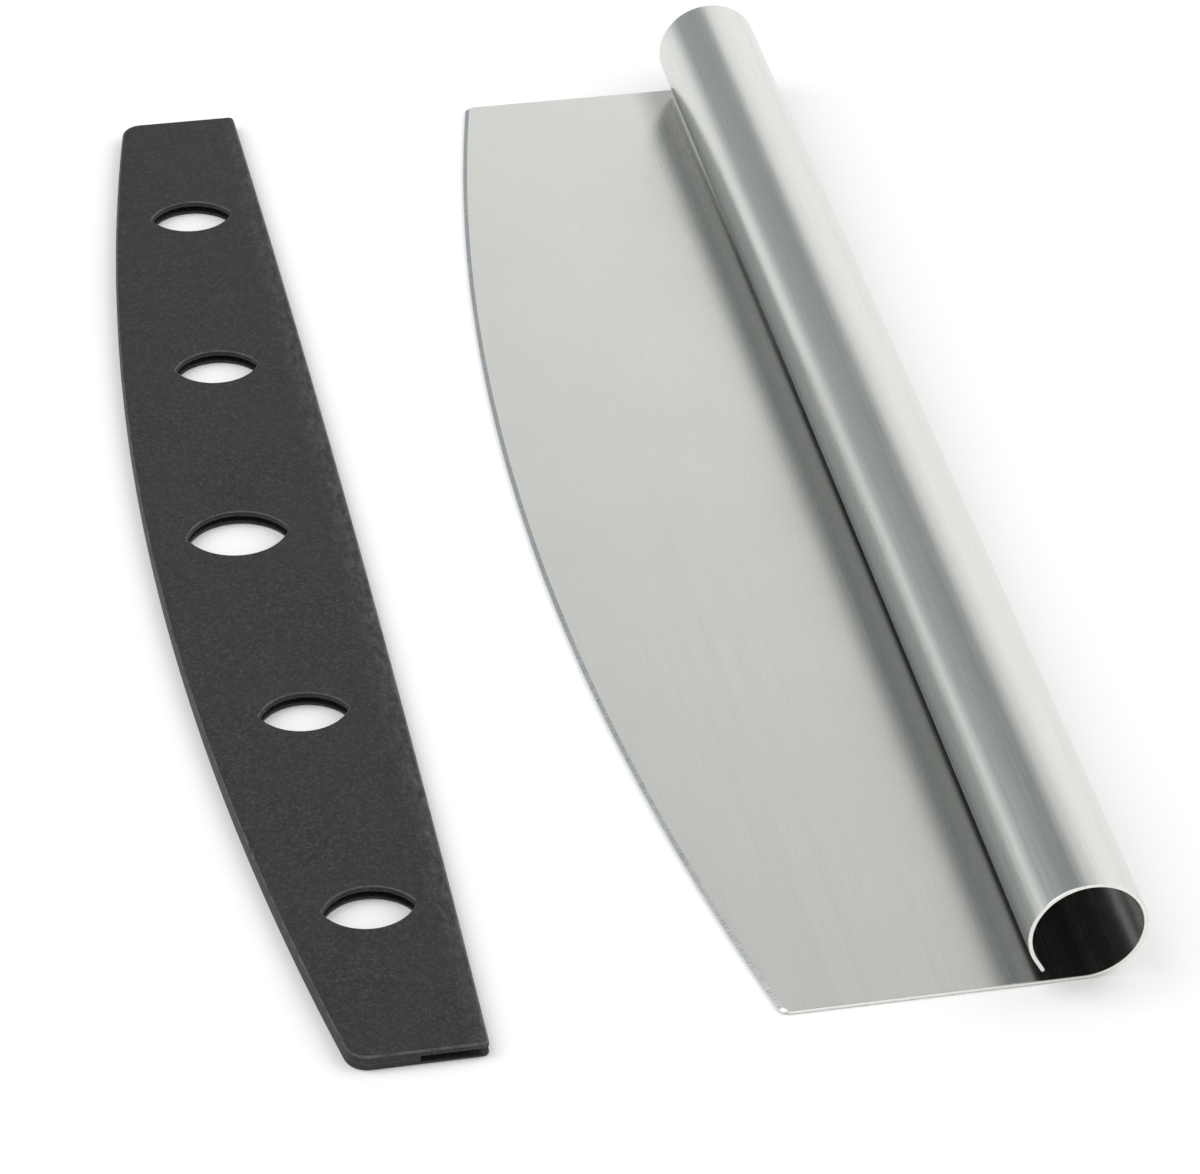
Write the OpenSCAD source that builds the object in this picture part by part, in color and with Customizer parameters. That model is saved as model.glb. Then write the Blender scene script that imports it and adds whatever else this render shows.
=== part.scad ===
// Rocking pizza knife with its blade guard, both lying on a flat surface.
// Axes: +Y runs along the handle, the blade reaches towards -X, +Z is up.
// Origin: centre of the whole set, on the surface it lies on.

/* [Knife sheet and rolled handle] */
// Thickness of the steel sheet
sheet_t = 0.9; // [0.7:0.1:1.0]
// Length of the knife along its handle
knife_len = 355.6; // [320:0.2:400]
// Outside diameter of the rolled handle
handle_od = 25.2; // [23:0.2:28]
// Turn of the roll, from the bottom round to the start of the straight lip
roll_deg = 300; // [292:1:306]
// Straight lip left at the end of the roll
lip_len = 3.5; // [2:0.5:4]

/* [Blade] */
// Handle axis to the blade's corners
corner_reach = 63.3; // [58:0.1:70]
// How far the curved edge bulges past its corners
edge_sagitta = 19.5; // [16:0.5:22]
// Rounding of the two blade corners
edge_corner_r = 2; // [1:0.5:4]
// Width of the ground bevel along the curved edge
bevel_w = 1.2; // [0.6:0.1:2]
// Flat left at the very edge, so that it is blunt
bevel_land = 0.2; // [0.1:0.05:0.4]

/* [Blade guard] */
// Thickness of the guard
guard_t = 3.6; // [3.4:0.1:4.4]
// Guard length beyond the knife's length, both ends together
guard_extra = 3.0; // [2:0.2:6]
// Width of the guard at its ends
guard_end_w = 28.1; // [27:0.1:32]
// How far the guard's closed edge bulges past its corners
guard_sagitta = 17.0; // [15:0.5:18]
// How far the guard's open edge bulges past its corners
guard_open_bow = 1.6; // [0.2:0.1:2]
// Rounding of the guard's two outer corners
guard_corner_r = 4.5; // [3:0.5:6]
// Solid rim between the guard's closed edge and the bottom of its slot, at mid length
guard_rim = 5; // [4.6:0.1:5.4]
// How much of each end of the slot is open, from the open edge
guard_end_open = 14; // [8:0.5:16]
// Length across the guard of the middle lens-shaped opening
lens_mid_l = 23.1; // [18:0.1:24]
// Width along the guard of the middle opening
lens_mid_w = 16.4; // [12:0.1:18]
// Length across the guard of the other four openings
lens_side_l = 19.6; // [16:0.1:20]
// Width along the guard of the other four openings
lens_side_w = 13.0; // [10:0.1:15]

/* [Guard on the blade] */
// Handle axis to the middle of the guard's open edge, as the two lie side by side
guard_offset = 121.9; // [112:0.1:140]
// Rise of the blade in the guard by the time it is fully in
slide_rise = 1.3; // [1.2:0.05:1.4]
// Free space under and over the blade in the slot
slot_gap = 0.08; // [0.05:0.01:0.12]
// Free space past the curved edge when the guard is fully on
slot_end_gap = 0.4; // [0.3:0.1:0.6]

/* [Hidden] */

handle_r = handle_od / 2;
bore_r = handle_r - sheet_t;
half_len = knife_len / 2;
guard_half = half_len + guard_extra / 2;
guard_mid_w = guard_end_w + guard_sagitta + guard_open_bow;
// The set is centred between the handle's right side and the guard's left edge.
handle_x = (handle_r + guard_offset + guard_mid_w) / 2 - handle_r;

// Curved edge of the blade: one circular arc through both corners.
edge_r = (half_len * half_len + edge_sagitta * edge_sagitta) / (2 * edge_sagitta);
edge_mid_x = handle_x - corner_reach - edge_sagitta;
edge_cx = edge_mid_x + edge_r;

// The guard's own edges, in plan.
open_mid_x = handle_x - guard_offset;
open_end_x = open_mid_x - guard_open_bow;
closed_end_x = open_end_x - guard_end_w;
closed_mid_x = closed_end_x - guard_sagitta;
// Bottom of the slot, parallel to the blade's edge.
slot_mid_x = closed_mid_x + guard_rim;
slide_x = edge_mid_x - slot_mid_x - slot_end_gap;
slot_top = slide_rise + sheet_t + slot_gap;

// Upper face of the guard's lower wall, which climbs inwards with the blade.
function slot_floor(x) = slide_rise * (edge_mid_x - x) / slide_x - slot_gap;

// Parts of a circle are drawn through these many points.
arc_n = 48;
function bow(x_end, sag, y) = x_end + sag * (1 - (y / guard_half) * (y / guard_half));

// Centre of the round on the guard's outer corner, and the angles it spans.
function corner_pts(sy) = [for (i = [0 : 8])
    let (a = 90 * i / 8)
    [closed_end_x + 0.8 + guard_corner_r * (1 - cos(a)),
     sy * (guard_half - guard_corner_r + guard_corner_r * sin(a))]];

module guard_plan() {
    polygon(concat(
        [for (i = [0 : arc_n])
            let (y = -guard_half + 2 * guard_half * i / arc_n)
            [bow(open_end_x, guard_open_bow, y), y]],
        [for (i = [8 : -1 : 0]) corner_pts(1)[i]],
        [for (i = [1 : arc_n - 1])
            let (y = (guard_half - guard_corner_r) * (1 - 2 * i / arc_n))
            [2 * closed_end_x - bow(closed_end_x, guard_sagitta, y), y]],
        corner_pts(-1)
    ));
}

// Outline of the sheet seen along the handle: flat blade, roll and lip.
module roll_profile() {
    difference() {
        circle(r = handle_r, $fn = 180);
        circle(r = bore_r, $fn = 180);
        // open sector between the lip and the blade
        polygon([[0, 0], [0, -2 * handle_r],
                 [-2 * handle_r * sin(360 - roll_deg), -2 * handle_r],
                 [-2 * handle_r * sin(360 - roll_deg), -2 * handle_r * cos(360 - roll_deg)]]);
    }
    // straight lip, tangent to the roll where it ends
    rotate(roll_deg - 360)
        translate([0, -handle_r]) square([lip_len, sheet_t]);
}

module edge_corner_cut() {
    fx = edge_cx - sqrt((edge_r - edge_corner_r) * (edge_r - edge_corner_r)
                        - (half_len - edge_corner_r) * (half_len - edge_corner_r));
    fy = half_len - edge_corner_r;
    d = sqrt((edge_cx - fx) * (edge_cx - fx) + fy * fy);
    ux = (fx - edge_cx) / d;
    uy = fy / d;
    translate([0, 0, -1]) linear_extrude(height = sheet_t + 2)
        difference() {
            polygon([[fx, fy], [fx, fy + 3 * edge_corner_r],
                     [fx - 4 * edge_corner_r, fy + 3 * edge_corner_r],
                     [fx + 4 * edge_corner_r * ux, fy + 4 * edge_corner_r * uy]]);
            translate([fx, fy]) circle(r = edge_corner_r, $fn = 48);
        }
}

// Flat blade with its double bevel; the curved edge is a slice of one large ring.
module blade_plate() {
    bevel_h = (sheet_t - bevel_land) / 2;
    difference() {
        intersection() {
            translate([edge_cx, 0, 0])
                rotate_extrude($fn = 1440)
                    polygon([[edge_r - 200, 0], [edge_r - bevel_w, 0],
                             [edge_r, bevel_h], [edge_r, bevel_h + bevel_land],
                             [edge_r - bevel_w, sheet_t], [edge_r - 200, sheet_t]]);
            translate([edge_mid_x - 10, -half_len, 0])
                cube([handle_x - edge_mid_x + 10, knife_len, sheet_t]);
        }
        edge_corner_cut();
        mirror([0, 1, 0]) edge_corner_cut();
    }
}

module knife() {
    color([0.76, 0.77, 0.75]) union() {
        blade_plate();
        translate([handle_x, half_len, handle_r]) rotate([90, 0, 0])
            linear_extrude(height = knife_len) roll_profile();
    }
}

module lens_hole(x, y, l, w) {
    r = (l * l + w * w) / (4 * w);
    translate([x, y, -1]) intersection() {
        translate([0, r - w / 2, 0]) cylinder(r = r, h = guard_t + 2, $fn = 180);
        translate([0, w / 2 - r, 0]) cylinder(r = r, h = guard_t + 2, $fn = 180);
    }
}

module guard_slot() {
    intersection() {
        // wedge between the two walls, seen along the handle
        translate([0, 250, 0]) rotate([90, 0, 0]) linear_extrude(height = 500)
            polygon([[open_mid_x + 5, slot_floor(open_mid_x + 5)],
                     [open_mid_x + 5, slot_top],
                     [closed_mid_x, slot_top],
                     [closed_mid_x, slot_floor(closed_mid_x)]]);
        union() {
            intersection() {
                translate([edge_cx - (edge_mid_x - slot_mid_x), 0, -1])
                    cylinder(r = edge_r, h = guard_t + 2, $fn = 1440);
                translate([closed_mid_x, -half_len - 0.5, -1])
                    cube([open_mid_x + 5 - closed_mid_x, knife_len + 1, guard_t + 2]);
            }
            translate([open_end_x - guard_end_open, -guard_half - 2, -1])
                cube([guard_end_open + 10, 2 * guard_half + 4, guard_t + 2]);
        }
    }
}

module blade_guard() {
    lens_y1 = 0.375 * guard_half;
    lens_y2 = 0.747 * guard_half;
    color([0.16, 0.17, 0.17]) difference() {
        linear_extrude(height = guard_t) guard_plan();
        guard_slot();
        lens_hole(closed_mid_x + 20.4, 0, lens_mid_l, lens_mid_w);
        for (s = [-1, 1]) {
            lens_hole(closed_mid_x + 25.1, s * lens_y1, lens_side_l, lens_side_w);
            lens_hole(closed_mid_x + 28.2, s * lens_y2, lens_side_l, lens_side_w);
        }
    }
}

knife();
blade_guard();
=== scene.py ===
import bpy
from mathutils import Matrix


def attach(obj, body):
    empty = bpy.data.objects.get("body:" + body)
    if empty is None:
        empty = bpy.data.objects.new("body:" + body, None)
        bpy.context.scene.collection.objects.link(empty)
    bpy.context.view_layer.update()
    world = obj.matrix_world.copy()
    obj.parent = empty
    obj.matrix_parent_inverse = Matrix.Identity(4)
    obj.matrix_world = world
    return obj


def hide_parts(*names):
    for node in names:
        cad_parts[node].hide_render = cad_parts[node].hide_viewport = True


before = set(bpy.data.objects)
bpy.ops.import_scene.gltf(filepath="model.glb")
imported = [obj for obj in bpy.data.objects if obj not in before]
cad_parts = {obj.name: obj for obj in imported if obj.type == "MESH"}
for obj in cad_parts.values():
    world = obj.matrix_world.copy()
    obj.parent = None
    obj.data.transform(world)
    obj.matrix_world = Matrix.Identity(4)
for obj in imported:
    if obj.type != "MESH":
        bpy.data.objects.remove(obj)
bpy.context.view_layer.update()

import math
import bmesh
import bpy
from mathutils import Matrix, Vector

scene = bpy.context.scene
scene.view_settings.view_transform = "Standard"
scene.view_settings.look = "None"

MM = 0.001

# ---------------------------------------------------------------- dimensions, mm
HX = 78.0            # handle axis
R, T = 12.6, 0.9     # outside radius of the roll, sheet thickness
RI = R - T
HALF = 177.8
ROLL = 300.0
LIP = 3.5
EDGE_MID = HX - 63.3 - 19.5
EDGE_R = (HALF ** 2 + 19.5 ** 2) / 39.0
EDGE_CX = EDGE_MID + EDGE_R
CORNER = 2.0
BEV_W, LAND = 0.95, 0.2

GT = 3.6
GH = HALF + 1.5
OPEN_MID = HX - 121.9
OPEN_END = OPEN_MID - 1.6
CLOSED_END = OPEN_END - 28.1
CLOSED_MID = CLOSED_END - 17.0
SLOT_MID = CLOSED_MID + 5.0
SLIDE_X = EDGE_MID - SLOT_MID - 0.4
RISE = 1.3
SLOT_TOP = RISE + T + 0.08


def slot_floor(x):
    return RISE * (EDGE_MID - x) / SLIDE_X - 0.08


def link(name, mesh):
    o = bpy.data.objects.new(name, mesh)
    scene.collection.objects.link(o)
    return o


# ---------------------------------------------------------------- node helpers
class Nodes:
    def __init__(self, name):
        self.mat = bpy.data.materials.new(name)
        self.mat.use_nodes = True
        self.t = self.mat.node_tree
        self.t.nodes.clear()

    def n(self, kind, **props):
        node = self.t.nodes.new(kind)
        for k, v in props.items():
            setattr(node, k, v)
        return node

    def l(self, a, b):
        self.t.links.new(a, b)

    def math(self, op, a, b=None, clamp=False):
        m = self.n("ShaderNodeMath", operation=op, use_clamp=clamp)
        for i, v in enumerate((a, b)):
            if v is None:
                continue
            if isinstance(v, (int, float)):
                m.inputs[i].default_value = v
            else:
                self.l(v, m.inputs[i])
        return m.outputs[0]

    def ramp(self, fac, stops, interp="LINEAR"):
        r = self.n("ShaderNodeValToRGB")
        r.color_ramp.interpolation = interp
        e = r.color_ramp.elements
        e[0].position, e[0].color = stops[0][0], tuple(stops[0][1]) + (1,)
        e[1].position, e[1].color = stops[-1][0], tuple(stops[-1][1]) + (1,)
        for p, c in stops[1:-1]:
            x = e.new(p)
            x.color = tuple(c) + (1,)
        self.l(fac, r.inputs[0])
        return r.outputs[0]

    def maprange(self, v, a, b, c, d, smooth=False):
        m = self.n("ShaderNodeMapRange", interpolation_type="SMOOTHSTEP" if smooth else "LINEAR")
        self.l(v, m.inputs[0])
        for i, x in enumerate((a, b, c, d)):
            m.inputs[1 + i].default_value = x
        return m.outputs[0]

    def noise(self, vec, scale, detail=3.0, rough=0.5, dim="3D"):
        m = self.n("ShaderNodeTexNoise", noise_dimensions=dim)
        self.l(vec, m.inputs["Vector"])
        m.inputs["Scale"].default_value = scale
        m.inputs["Detail"].default_value = detail
        m.inputs["Roughness"].default_value = rough
        return m.outputs[0]

    def mapping(self, vec, scale):
        m = self.n("ShaderNodeMapping")
        self.l(vec, m.inputs[0])
        m.inputs["Scale"].default_value = scale
        return m.outputs[0]

    def mix(self, fac, a, b):
        m = self.n("ShaderNodeMix", data_type="RGBA")
        for sock, v in ((m.inputs[0], fac), (m.inputs[6], a), (m.inputs[7], b)):
            if isinstance(v, (int, float)):
                sock.default_value = v
            elif isinstance(v, tuple):
                sock.default_value = v + (1,) if len(v) == 3 else v
            else:
                self.l(v, sock)
        return m.outputs[2]


# ---------------------------------------------------------------- steel
def steel():
    N = Nodes("brushed_steel")
    uv = N.n("ShaderNodeUVMap", uv_map="sheet").outputs[0]
    obj = N.n("ShaderNodeTexCoord").outputs["Object"]
    bsdf = N.n("ShaderNodeBsdfPrincipled")
    out = N.n("ShaderNodeOutputMaterial")
    N.l(bsdf.outputs[0], out.inputs[0])
    # the grain runs along the handle: fine across the sheet, long along it
    fine = N.noise(N.mapping(uv, (9000.0, 45.0, 1.0)), 1.0, 4.0, 0.6, "2D")
    mid = N.noise(N.mapping(uv, (1900.0, 9.0, 1.0)), 1.0, 3.0, 0.55, "2D")
    wide = N.noise(N.mapping(uv, (260.0, 2.2, 1.0)), 1.0, 2.0, 0.5, "2D")
    cloud = N.noise(obj, 26.0, 4.0, 0.55)
    # short stray scratches
    stray = N.noise(N.mapping(uv, (2600.0, 160.0, 1.0)), 1.0, 2.0, 0.7, "2D")
    stray = N.maprange(stray, 0.66, 0.74, 0.0, 1.0, True)
    g = N.math("ADD", N.math("MULTIPLY", fine, 0.5), N.math("MULTIPLY", mid, 0.3))
    g = N.math("ADD", g, N.math("MULTIPLY", wide, 0.2))
    col = N.ramp(g, [(0.30, (0.60, 0.615, 0.59)), (0.52, (0.675, 0.685, 0.655)), (0.75, (0.74, 0.745, 0.72))])
    tint = N.maprange(cloud, 0.3, 0.7, 0.0, 1.0)
    col = N.mix(N.math("MULTIPLY", tint, 0.35), col, (0.69, 0.68, 0.63))
    col = N.mix(N.math("MULTIPLY", stray, 0.12), col, (0.50, 0.51, 0.50))
    # painted shade: the sheet is darkened beside the crease, where it runs in under the roll
    su = N.n("ShaderNodeSeparateXYZ")
    N.l(uv, su.inputs[0])
    painted_crease_shade = N.math("MULTIPLY", N.maprange(su.outputs[0], -0.0215, -0.0125, 0.0, 1.0, True), N.maprange(su.outputs[0], 0.0, 0.004, 1.0, 0.0, True))
    col = N.mix(N.math("MULTIPLY", painted_crease_shade, 0.62), col, (0.22, 0.225, 0.22))
    N.l(col, bsdf.inputs["Base Color"])
    bsdf.inputs["Metallic"].default_value = 1.0
    rough = N.math("ADD", N.maprange(g, 0.3, 0.75, 0.20, 0.31), N.math("MULTIPLY", N.math("SUBTRACT", cloud, 0.5), 0.10))
    N.l(rough, bsdf.inputs["Roughness"])
    bsdf.inputs["Anisotropic"].default_value = 0.55
    tan = N.n("ShaderNodeTangent", direction_type="UV_MAP", uv_map="sheet")
    N.l(tan.outputs[0], bsdf.inputs["Tangent"])
    h = N.math("ADD", N.math("MULTIPLY", fine, 0.6), N.math("MULTIPLY", mid, 0.8))
    h = N.math("ADD", h, N.math("MULTIPLY", stray, -0.5))
    b1 = N.n("ShaderNodeBump")
    b1.inputs["Strength"].default_value = 0.22
    b1.inputs["Distance"].default_value = 0.00001
    N.l(h, b1.inputs["Height"])
    # the sheet is never quite flat
    wav = N.noise(N.mapping(obj, (20.0, 5.0, 20.0)), 1.0, 1.0, 0.4)
    b2 = N.n("ShaderNodeBump")
    b2.inputs["Strength"].default_value = 0.35
    b2.inputs["Distance"].default_value = 0.0006
    N.l(wav, b2.inputs["Height"])
    N.l(b1.outputs[0], b2.inputs["Normal"])
    N.l(b2.outputs[0], bsdf.inputs["Normal"])
    return N.mat


# ground bevel: same steel, marks run across the edge
def steel_ground():
    N = Nodes("ground_edge")
    obj = N.n("ShaderNodeTexCoord").outputs["Object"]
    bsdf = N.n("ShaderNodeBsdfPrincipled")
    out = N.n("ShaderNodeOutputMaterial")
    N.l(bsdf.outputs[0], out.inputs[0])
    g = N.noise(N.mapping(obj, (260.0, 5200.0, 260.0)), 1.0, 3.0, 0.6)
    w = N.noise(N.mapping(obj, (40.0, 60.0, 40.0)), 1.0, 2.0, 0.5)
    col = N.ramp(N.math("ADD", N.math("MULTIPLY", g, 0.7), N.math("MULTIPLY", w, 0.3)),
                 [(0.30, (0.52, 0.535, 0.53)), (0.50, (0.68, 0.69, 0.68)), (0.72, (0.84, 0.845, 0.83))])
    N.l(col, bsdf.inputs["Base Color"])
    bsdf.inputs["Metallic"].default_value = 1.0
    N.l(N.maprange(g, 0.3, 0.7, 0.24, 0.42), bsdf.inputs["Roughness"])
    b = N.n("ShaderNodeBump")
    b.inputs["Strength"].default_value = 0.4
    b.inputs["Distance"].default_value = 0.00002
    N.l(g, b.inputs["Height"])
    N.l(b.outputs[0], bsdf.inputs["Normal"])
    return N.mat


# cut ends of the sheet: brighter, with fine shear marks
def steel_cut():
    N = Nodes("cut_edge")
    obj = N.n("ShaderNodeTexCoord").outputs["Object"]
    bsdf = N.n("ShaderNodeBsdfPrincipled")
    out = N.n("ShaderNodeOutputMaterial")
    N.l(bsdf.outputs[0], out.inputs[0])
    g = N.noise(N.mapping(obj, (1500.0, 900.0, 1500.0)), 1.0, 3.0, 0.6)
    col = N.ramp(g, [(0.3, (0.70, 0.69, 0.66)), (0.7, (0.90, 0.89, 0.86))])
    N.l(col, bsdf.inputs["Base Color"])
    bsdf.inputs["Metallic"].default_value = 1.0
    N.l(N.maprange(g, 0.3, 0.7, 0.30, 0.46), bsdf.inputs["Roughness"])
    b = N.n("ShaderNodeBump")
    b.inputs["Strength"].default_value = 0.3
    b.inputs["Distance"].default_value = 0.00003
    N.l(g, b.inputs["Height"])
    N.l(b.outputs[0], bsdf.inputs["Normal"])
    return N.mat


# ---------------------------------------------------------------- guard plastic
def guard_plastic():
    N = Nodes("speckled_black_plastic")
    obj = N.n("ShaderNodeTexCoord").outputs["Object"]
    bsdf = N.n("ShaderNodeBsdfPrincipled")
    out = N.n("ShaderNodeOutputMaterial")
    N.l(bsdf.outputs[0], out.inputs[0])
    pores = N.noise(obj, 2600.0, 2.0, 0.6)
    grit = N.noise(obj, 1250.0, 4.0, 0.68)
    cloud = N.noise(obj, 42.0, 4.0, 0.6)
    big = N.noise(N.mapping(obj, (9.0, 4.0, 9.0)), 1.0, 3.0, 0.5)
    base = N.ramp(grit, [(0.34, (0.006, 0.0066, 0.0064)), (0.50, (0.0135, 0.0150, 0.0145)), (0.68, (0.040, 0.043, 0.042))])
    base = N.mix(N.maprange(cloud, 0.35, 0.70, 0.0, 0.40), base, (0.0200, 0.0195, 0.0205))
    # light dust and fine pale specks
    speck = N.maprange(pores, 0.64, 0.72, 0.0, 1.0, True)
    base = N.mix(N.math("MULTIPLY", speck, 0.55), base, (0.13, 0.14, 0.14))
    # lighter patches along the open edge: partly dusty wear, partly painted sheen
    sep = N.n("ShaderNodeSeparateXYZ")
    N.l(obj, sep.inputs[0])
    near = N.maprange(sep.outputs[0], -0.0510, -0.0442, 0.0, 1.0, True)
    wear_and_sheen = N.math("MULTIPLY", near, N.maprange(N.noise(N.mapping(obj, (620.0, 260.0, 620.0)), 1.0, 5.0, 0.75), 0.42, 0.70, 0.0, 1.0))
    base = N.mix(N.math("MULTIPLY", wear_and_sheen, 0.42), base, (0.15, 0.155, 0.15))
    # lighter rounded edges, found from the shape itself by their slope: partly worn corners, partly painted highlight
    geo = N.n("ShaderNodeNewGeometry")
    sn = N.n("ShaderNodeSeparateXYZ")
    N.l(geo.outputs["Normal"], sn.inputs[0])
    nz = sn.outputs[2]
    edge_wear_and_highlight = N.math("MULTIPLY", N.maprange(nz, 0.35, 0.62, 0.0, 1.0, True), N.maprange(nz, 0.86, 0.985, 1.0, 0.0, True))
    edge_wear_and_highlight = N.math("MULTIPLY", edge_wear_and_highlight, N.maprange(N.noise(obj, 340.0, 4.0, 0.65), 0.34, 0.62, 0.25, 1.0))
    base = N.mix(N.math("MULTIPLY", edge_wear_and_highlight, 0.45), base, (0.15, 0.155, 0.15))
    N.l(base, bsdf.inputs["Base Color"])
    r = N.math("ADD", N.maprange(grit, 0.3, 0.7, 0.50, 0.66), N.math("MULTIPLY", N.math("SUBTRACT", big, 0.5), 0.14))
    N.l(r, bsdf.inputs["Roughness"])
    bsdf.inputs["Specular IOR Level"].default_value = 0.33
    h = N.math("ADD", N.math("MULTIPLY", grit, 0.7), N.math("MULTIPLY", pores, 0.5))
    b = N.n("ShaderNodeBump")
    b.inputs["Strength"].default_value = 0.55
    b.inputs["Distance"].default_value = 0.00007
    N.l(h, b.inputs["Height"])
    N.l(b.outputs[0], bsdf.inputs["Normal"])
    return N.mat


def floor_white():
    N = Nodes("pale_floor")
    obj = N.n("ShaderNodeTexCoord").outputs["Object"]
    bsdf = N.n("ShaderNodeBsdfPrincipled")
    out = N.n("ShaderNodeOutputMaterial")
    N.l(bsdf.outputs[0], out.inputs[0])
    g = N.noise(obj, 12.0, 2.0, 0.5)
    N.l(N.ramp(g, [(0.3, (0.90, 0.90, 0.90)), (0.7, (0.915, 0.915, 0.915))]), bsdf.inputs["Base Color"])
    bsdf.inputs["Roughness"].default_value = 0.85
    bsdf.inputs["Specular IOR Level"].default_value = 0.1
    return N.mat


STEEL, GROUND, CUT, PLASTIC, FLOOR = steel(), steel_ground(), steel_cut(), guard_plastic(), floor_white()


# ---------------------------------------------------------------- knife
def edge_x(y):
    """Plan position of the blade's edge at y, with its rounded corners."""
    fy = HALF - CORNER
    if abs(y) <= fy:
        return EDGE_CX - math.sqrt(EDGE_R ** 2 - y * y)
    fx = EDGE_CX - math.sqrt((EDGE_R - CORNER) ** 2 - fy * fy)
    return fx - math.sqrt(max(CORNER ** 2 - (abs(y) - fy) ** 2, 0.0))


def section(y, pinch=0.0):
    """Matched points on the two faces of the sheet, from the blade's edge round to the end of the lip."""
    xe = edge_x(y)
    lo, hi = [], []
    p = pinch
    hb = (T - LAND) / 2
    bw = BEV_W
    lo.append((xe, hb + p * 0.3)); hi.append((xe, hb + LAND - p * 0.3))
    for k in (0.5, 1.0):
        lo.append((xe + bw * k, hb * (1 - k) + p)); hi.append((xe + bw * k, T - hb * (1 - k) - p))
    n = 30
    x0 = xe + bw
    for i in range(1, n + 1):
        x = x0 + (HX - x0) * i / n
        lo.append((x, p)); hi.append((x, T - p))
    m = 132
    for i in range(1, m + 1):
        a = math.radians(ROLL) * i / m
        for lst, r in ((lo, R - p), (hi, RI + p)):
            lst.append((HX + r * math.sin(a), R - r * math.cos(a)))
    a = math.radians(ROLL)
    tx, tz = math.cos(a), math.sin(a)
    nx, nz = math.sin(a), -math.cos(a)
    for k in (0.25, 0.5, 0.75, 0.93, 1.0):
        q = 0.14 * max(0.0, (k - 0.93) / 0.07)
        for lst, r in ((lo, R - p - q), (hi, RI + p + q)):
            lst.append((HX + r * nx + tx * LIP * k, R + r * nz + tz * LIP * k))
    return lo, hi


def knife():
    ys = [0.0, 0.03, 0.08, 0.16]
    e = [HALF - d for d in ys]
    inner = []
    k = 14
    for i in range(1, k + 1):
        inner.append(HALF - 0.16 - (CORNER + 0.4) * i / k)
    nmid = 110
    stop = inner[-1]
    mid = [stop - 2 * stop * i / nmid for i in range(1, nmid)]
    side = e + inner
    stations = [-y for y in side] + [-m for m in mid] + list(reversed(side))
    pinch = {0.0: 0.15, 0.03: 0.075, 0.08: 0.026, 0.16: 0.0}
    bm = bmesh.new()
    uvl = bm.loops.layers.uv.new("sheet")
    rows = []
    for y in stations:
        d = HALF - abs(y)
        pn = 0.0
        for key, val in pinch.items():
            if abs(d - key) < 1e-6:
                pn = val
        lo, hi = section(y, pn)
        s = [0.0]
        for i in range(1, len(lo)):
            s.append(s[-1] + math.hypot(0.5 * (lo[i][0] + hi[i][0] - lo[i - 1][0] - hi[i - 1][0]),
                                        0.5 * (lo[i][1] + hi[i][1] - lo[i - 1][1] - hi[i - 1][1])))
        # distances count from the handle, so that the grain stays straight
        base = s[32]
        s = [v - base for v in s]
        rows.append((y,
                     [bm.verts.new((x * MM, y * MM, z * MM)) for x, z in lo],
                     [bm.verts.new((x * MM, y * MM, z * MM)) for x, z in hi], s))

    def quad(vs, uvs, mi, smooth=True):
        f = bm.faces.new(vs)
        f.material_index = mi
        f.smooth = smooth
        for lp, q in zip(f.loops, uvs):
            lp[uvl].uv = q

    for (ya, la, ha, sa), (yb, lb, hb, sb) in zip(rows, rows[1:]):
        for i in range(len(la) - 1):
            mi = 1 if i < 2 else 0
            ua, ub, uc, ud = (sa[i], ya), (sa[i + 1], ya), (sb[i + 1], yb), (sb[i], yb)
            sc = lambda q: (q[0] * MM, q[1] * MM)
            quad((la[i], lb[i], lb[i + 1], la[i + 1]), [sc(ua), sc(ud), sc(uc), sc(ub)], mi)
            quad((ha[i], ha[i + 1], hb[i + 1], hb[i]), [sc(ua), sc(ub), sc(uc), sc(ud)], mi)
        sc = lambda q: (q[0] * MM, q[1] * MM)
        quad((la[0], ha[0], hb[0], lb[0]), [sc((sa[0], ya))] * 2 + [sc((sb[0], yb))] * 2, 1)
        quad((la[-1], lb[-1], hb[-1], ha[-1]), [sc((sa[-1], ya)), sc((sb[-1], yb)), sc((sb[-1], yb)), sc((sa[-1], ya))], 2)
    for row, flip in ((rows[0], False), (rows[-1], True)):
        y, lo, hi, s = row
        for i in range(len(lo) - 1):
            vs = [lo[i], lo[i + 1], hi[i + 1], hi[i]]
            us = [(s[i] * MM, 0), (s[i + 1] * MM, 0), (s[i + 1] * MM, T * MM), (s[i] * MM, T * MM)]
            if flip:
                vs.reverse(); us.reverse()
            quad(vs, us, 2)
    bmesh.ops.recalc_face_normals(bm, faces=bm.faces)
    for ed in bm.edges:
        if len(ed.link_faces) == 2:
            a = ed.calc_face_angle(0.0)
            mats = {f.material_index for f in ed.link_faces}
            if a > math.radians(25) or (mats == {0, 1}):
                ed.smooth = False
    me = bpy.data.meshes.new("knife_sheet")
    bm.to_mesh(me)
    bm.free()
    for m in (STEEL, GROUND, CUT):
        me.materials.append(m)
    return link("knife_sheet", me)


# ---------------------------------------------------------------- guard
def fillet(a, c, b, r, n):
    """Round the corner c between the directions to a and b."""
    u = (Vector(a) - Vector(c)).normalized()
    v = (Vector(b) - Vector(c)).normalized()
    ang = u.angle(v)
    d = r / math.tan(ang / 2)
    p, q = Vector(c) + u * d, Vector(c) + v * d
    bis = (u + v).normalized()
    o = Vector(c) + bis * (r / math.sin(ang / 2))
    a0 = math.atan2(*(p - o).yx)
    a1 = math.atan2(*(q - o).yx)
    da = (a1 - a0 + math.pi) % (2 * math.pi) - math.pi
    return [(o.x + r * math.cos(a0 + da * i / n), o.y + r * math.sin(a0 + da * i / n)) for i in range(n + 1)]


def bow(x_end, sag, y):
    return x_end + sag * (1 - (y / GH) ** 2)


def closed_x(y):
    return 2 * CLOSED_END - bow(CLOSED_END, 17.0, y)


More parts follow.
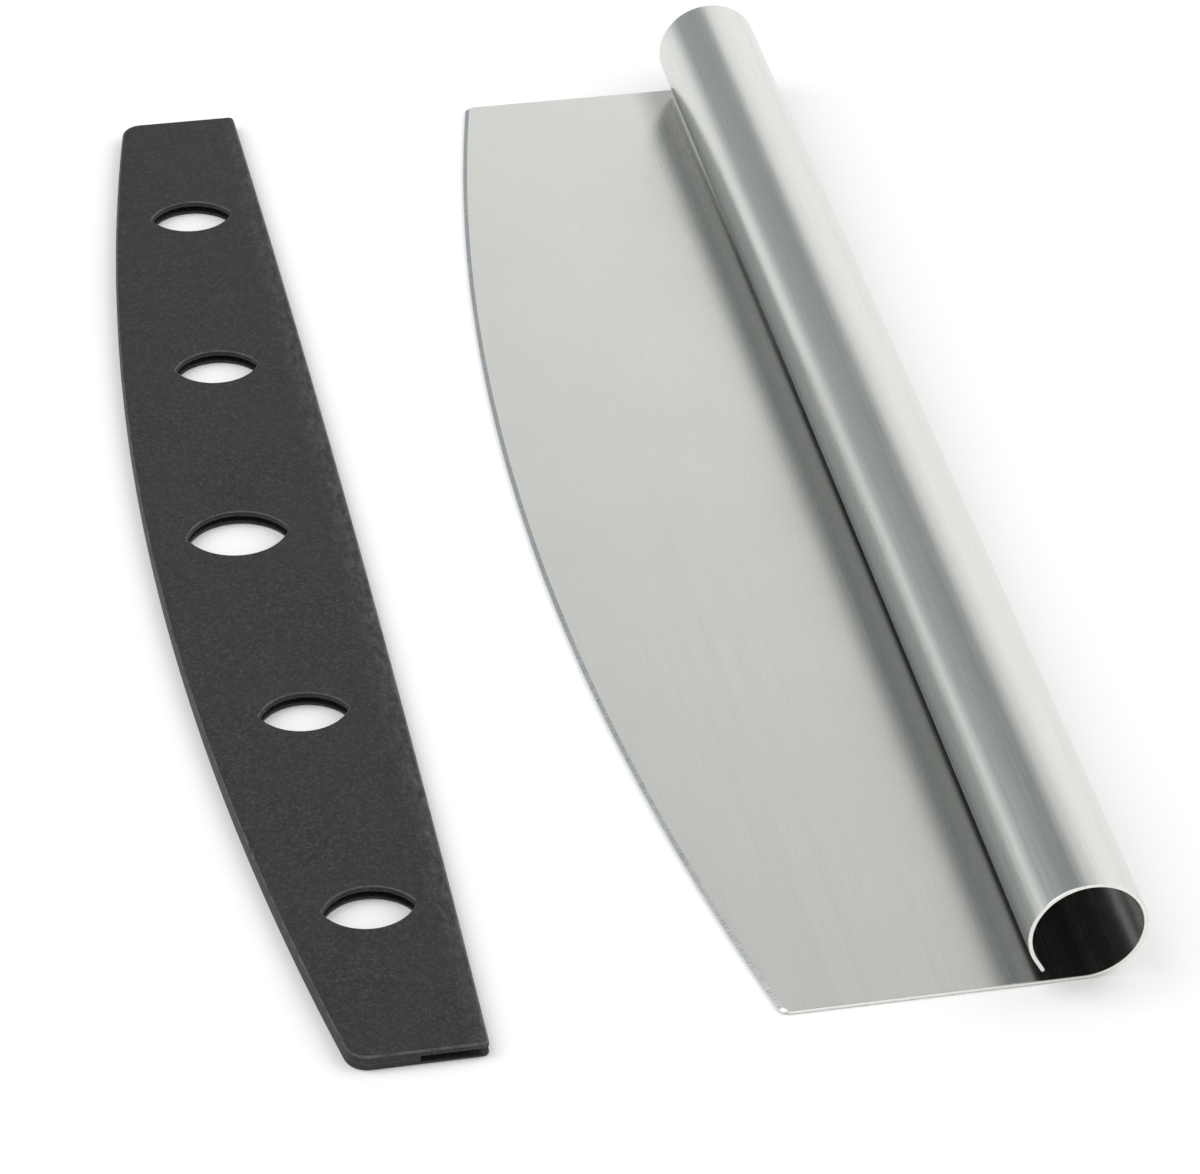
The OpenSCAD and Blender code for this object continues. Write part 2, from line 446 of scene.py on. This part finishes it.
def guard_outline():
    n = 150
    right = [(bow(OPEN_END, 1.6, y), y) for y in (-(GH - 2) + 2 * (GH - 2) * i / n for i in range(n + 1))]
    left = [(closed_x(y), y) for y in ((GH - 8) - 2 * (GH - 8) * i / n for i in range(n + 1))]
    cs = [(OPEN_END, GH), (CLOSED_END, GH), (CLOSED_END, -GH), (OPEN_END, -GH)]
    out = list(right)
    out += fillet(right[-1], cs[0], cs[1], 1.3, 8)
    out += [(OPEN_END - 1.3 - (21.0) * i / 12, GH) for i in range(1, 12)]
    out += fillet(cs[0], cs[1], left[0], 5.0, 14)
    out += left
    out += fillet(left[-1], cs[2], cs[3], 5.0, 14)
    out += [(OPEN_END - 22.3 + (21.0) * i / 12, -GH) for i in range(1, 12)]
    out += fillet(cs[2], cs[3], right[0], 1.3, 8)
    clean = []
    for q in out:
        if not clean or math.hypot(q[0] - clean[-1][0], q[1] - clean[-1][1]) > 0.02:
            clean.append(q)
    return clean


def stack(name, loops):
    """A closed solid through loops of equal length, each a list of 3D points."""
    bm = bmesh.new()
    rows = [[bm.verts.new((x * MM, y * MM, z * MM)) for x, y, z in lp] for lp in loops]
    n = len(rows[0])
    for a, b in zip(rows, rows[1:]):
        for i in range(n):
            j = (i + 1) % n
            bm.faces.new((a[i], a[j], b[j], b[i]))
    bm.faces.new(list(reversed(rows[0])))
    bm.faces.new(rows[-1])
    bmesh.ops.recalc_face_normals(bm, faces=bm.faces)
    me = bpy.data.meshes.new(name)
    bm.to_mesh(me)
    bm.free()
    return link(name, me)


def inset(pts, d):
    n = len(pts)
    out = []
    for i in range(n):
        a, b, c = Vector(pts[i - 1]), Vector(pts[i]), Vector(pts[(i + 1) % n])
        e1, e2 = (b - a).normalized(), (c - b).normalized()
        n1, n2 = Vector((-e1.y, e1.x)), Vector((-e2.y, e2.x))
        m = (n1 + n2).normalized()
        m = m / max(m.dot(n1), 0.5)
        out.append((b.x + m.x * d, b.y + m.y * d))
    return out


def lens(cx, cy, l, w, e, z):
    r0 = (l * l + w * w) / (4 * w)
    d = r0 - w / 2
    r = r0 + e
    half = math.acos(min(1.0, d / r))
    n = 44
    pts = []
    for i in range(n):
        a = math.pi / 2 - half + 2 * half * i / n
        pts.append((cx + r * math.cos(a), cy - d + r * math.sin(a), z))
    for i in range(n):
        a = -math.pi / 2 - half + 2 * half * i / n
        pts.append((cx + r * math.cos(a), cy + d + r * math.sin(a), z))
    return pts


def guard():
    base = guard_outline()
    prof = []
    r = 0.35
    for i in range(5):
        a = math.pi / 2 * i / 4
        prof.append((r * (1 - math.sin(a)), r * (1 - math.cos(a))))
    prof += [(0.0, 1.0), (0.0, 1.52), (0.10, 1.62), (0.10, 1.68), (0.0, 1.78), (0.0, 2.3)]
    r = 0.85
    for i in range(8):
        a = math.pi / 2 * i / 7
        prof.append((r * (1 - math.cos(a)), GT - r + r * math.sin(a)))
    body = stack("blade_cover", [[(x, y, z) for x, y in inset(base, d)] for d, z in prof])

    # slot
    off = EDGE_MID - SLOT_MID
    cx = EDGE_CX - off
    hs = HALF + 0.5
    n = 120
    plan = [(cx - math.sqrt(EDGE_R ** 2 - y * y), y) for y in (hs - 2 * hs * i / n for i in range(n + 1))]
    xo = OPEN_END - 14.0
    plan += [(xo, -hs), (xo, -GH - 3), (OPEN_MID + 5, -GH - 3), (OPEN_MID + 5, GH + 3), (xo, GH + 3), (xo, hs)]
    slot = stack("slot_cut", [[(x, y, slot_floor(x)) for x, y in plan], [(x, y, SLOT_TOP) for x, y in plan]])

    # openings, their edges softened top and bottom
    cuts = []
    y1, y2 = 0.375 * GH, 0.747 * GH
    for x, y, l, w in ((20.4, 0.0031, 23.1, 16.4), (25.1, y1, 19.6, 13.0), (25.1, -y1, 19.6, 13.0),
                       (28.2, y2, 19.6, 13.0), (28.2, -y2, 19.6, 13.0)):
        rows = [(0.55, -0.6), (0.38, -0.05), (0.22, 0.06), (0.08, 0.18), (0.0, 0.35), (0.0, 1.1), (0.0, 1.8), (0.0, 2.5)]
        q = 0.6
        for i in range(1, 7):
            a = math.pi / 2 * i / 6
            rows.append((q * (1 - math.cos(a)), GT - q + q * math.sin(a)))
        rows[-1] = (0.62, GT + 0.01)
        rows.append((0.7, GT + 0.8))
        cuts.append(stack("lens_cut", [lens(CLOSED_MID + x, y, l, w, e, z) for e, z in rows]))
    for cutter in [slot] + cuts:
        m = body.modifiers.new("cut", "BOOLEAN")
        m.operation = "DIFFERENCE"
        m.solver = "EXACT"
        m.object = cutter
    bpy.context.view_layer.update()
    dg = bpy.context.evaluated_depsgraph_get()
    me = bpy.data.meshes.new_from_object(body.evaluated_get(dg))
    for o in [body, slot] + cuts:
        bpy.data.objects.remove(o)
    bm = bmesh.new()
    bm.from_mesh(me)
    bmesh.ops.remove_doubles(bm, verts=bm.verts, dist=2e-6)
    bmesh.ops.dissolve_degenerate(bm, dist=1e-6, edges=bm.edges)
    for f in bm.faces:
        f.smooth = True
        f.material_index = 0
    for ed in bm.edges:
        if len(ed.link_faces) != 2:
            ed.smooth = False
            continue
        big = any(len(f.verts) > 40 for f in ed.link_faces)
        if ed.calc_face_angle(0.0) > math.radians(26) or big:
            ed.smooth = False
    me.clear_geometry()
    bm.to_mesh(me)
    bm.free()
    me.materials.clear()
    me.materials.append(PLASTIC)
    me.name = "blade_cover"
    return link("blade_cover", me)


k = knife()
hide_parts("knife")
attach(k, "knife")
g = guard()
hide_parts("blade_guard")
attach(g, "guard")
for name, mat in (("knife", STEEL), ("blade_guard", PLASTIC)):
    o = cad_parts[name]
    o.data.materials.clear()
    o.data.materials.append(mat)

# ---------------------------------------------------------------- floor
bm = bmesh.new()
bmesh.ops.create_grid(bm, x_segments=8, y_segments=8, size=14.0)
for v in bm.verts:
    v.co.z = -0.00004
me = bpy.data.meshes.new("floor")
bm.to_mesh(me)
bm.free()
me.materials.append(FLOOR)
floor = link("floor", me)

# ---------------------------------------------------------------- camera
az, el, roll, dist = math.radians(-12.503), math.radians(36.688), math.radians(1.545), 1.1178
target = Vector((0.00758, -0.02956, 0.0))
back = Vector((math.sin(az) * math.cos(el), -math.cos(az) * math.cos(el), math.sin(el)))
right = (-back).cross(Vector((0, 0, 1))).normalized()
up = right.cross(-back)
r2 = right * math.cos(roll) + up * math.sin(roll)
u2 = up * math.cos(roll) - right * math.sin(roll)
cam = bpy.data.cameras.new("camera")
cam.sensor_fit = "HORIZONTAL"
cam.sensor_width = 36.0
cam.lens = 4968.0 * 36.0 / 1200.0
cam.clip_start, cam.clip_end = 0.05, 50.0
cam_o = bpy.data.objects.new("camera", cam)
scene.collection.objects.link(cam_o)
m = Matrix((r2, u2, back)).transposed().to_4x4()
m.translation = target + back * dist
cam_o.matrix_world = m
scene.camera = cam_o

# ---------------------------------------------------------------- light: a white tent with one grey side
world = bpy.data.worlds.new("studio")
scene.world = world
world.use_nodes = True
wt = world.node_tree
wt.nodes.clear()


class WN(Nodes):
    def __init__(self, tree):
        self.t = tree


W = WN(wt)
d = W.n("ShaderNodeTexCoord").outputs["Generated"]
sep = W.n("ShaderNodeSeparateXYZ")
W.l(d, sep.inputs[0])
X, Y, Z = sep.outputs
# angle round the handle's axis, 0 straight up, positive towards +X
ang = W.math("ARCTAN2", X, Z)
deg = W.math("MULTIPLY", ang, 180 / math.pi)
rise = W.maprange(deg, -92.0, -68.0, 0.0, 1.0, True)
fall = W.maprange(deg, 0.0, 13.5, 1.0, 0.0, True)
dark = W.math("MULTIPLY", rise, fall)
front = W.maprange(Y, -0.2, 0.4, 0.0, 1.0, True)
dark = W.math("MULTIPLY", dark, front)
# the tent is a little dimmer overhead than low down
top = W.maprange(Z, 0.45, 0.76, 1.06, 0.60, True)
val = W.math("MULTIPLY", top, W.math("SUBTRACT", 1.0, W.math("MULTIPLY", dark, 0.62)))
col = W.mix(dark, (1.0, 1.0, 0.99), (0.93, 1.0, 1.04))
vm = W.n("ShaderNodeVectorMath", operation="SCALE")
W.l(col, vm.inputs[0])
W.l(val, vm.inputs["Scale"])
bg = W.n("ShaderNodeBackground")
W.l(vm.outputs[0], bg.inputs[0])
bg.inputs["Strength"].default_value = 1.08
wo = W.n("ShaderNodeOutputWorld")
W.l(bg.outputs[0], wo.inputs[0])

key = bpy.data.lights.new("key", "AREA")
key.shape = "RECTANGLE"
key.size, key.size_y = 1.1, 1.6
key.energy = 12.0
ko = bpy.data.objects.new("key", key)
scene.collection.objects.link(ko)
ko.location = (-0.95, 0.25, 1.25)
ko.rotation_euler = (Vector((0, 0, 0)) - Vector(ko.location)).to_track_quat("-Z", "Y").to_euler()

fill = bpy.data.lights.new("fill", "AREA")
fill.shape = "RECTANGLE"
fill.size, fill.size_y = 1.2, 1.6
fill.energy = 9.0
fo = bpy.data.objects.new("fill", fill)
scene.collection.objects.link(fo)
fo.location = (1.25, -0.1, 1.0)
fo.rotation_euler = (Vector((0.05, 0, 0)) - Vector(fo.location)).to_track_quat("-Z", "Y").to_euler()
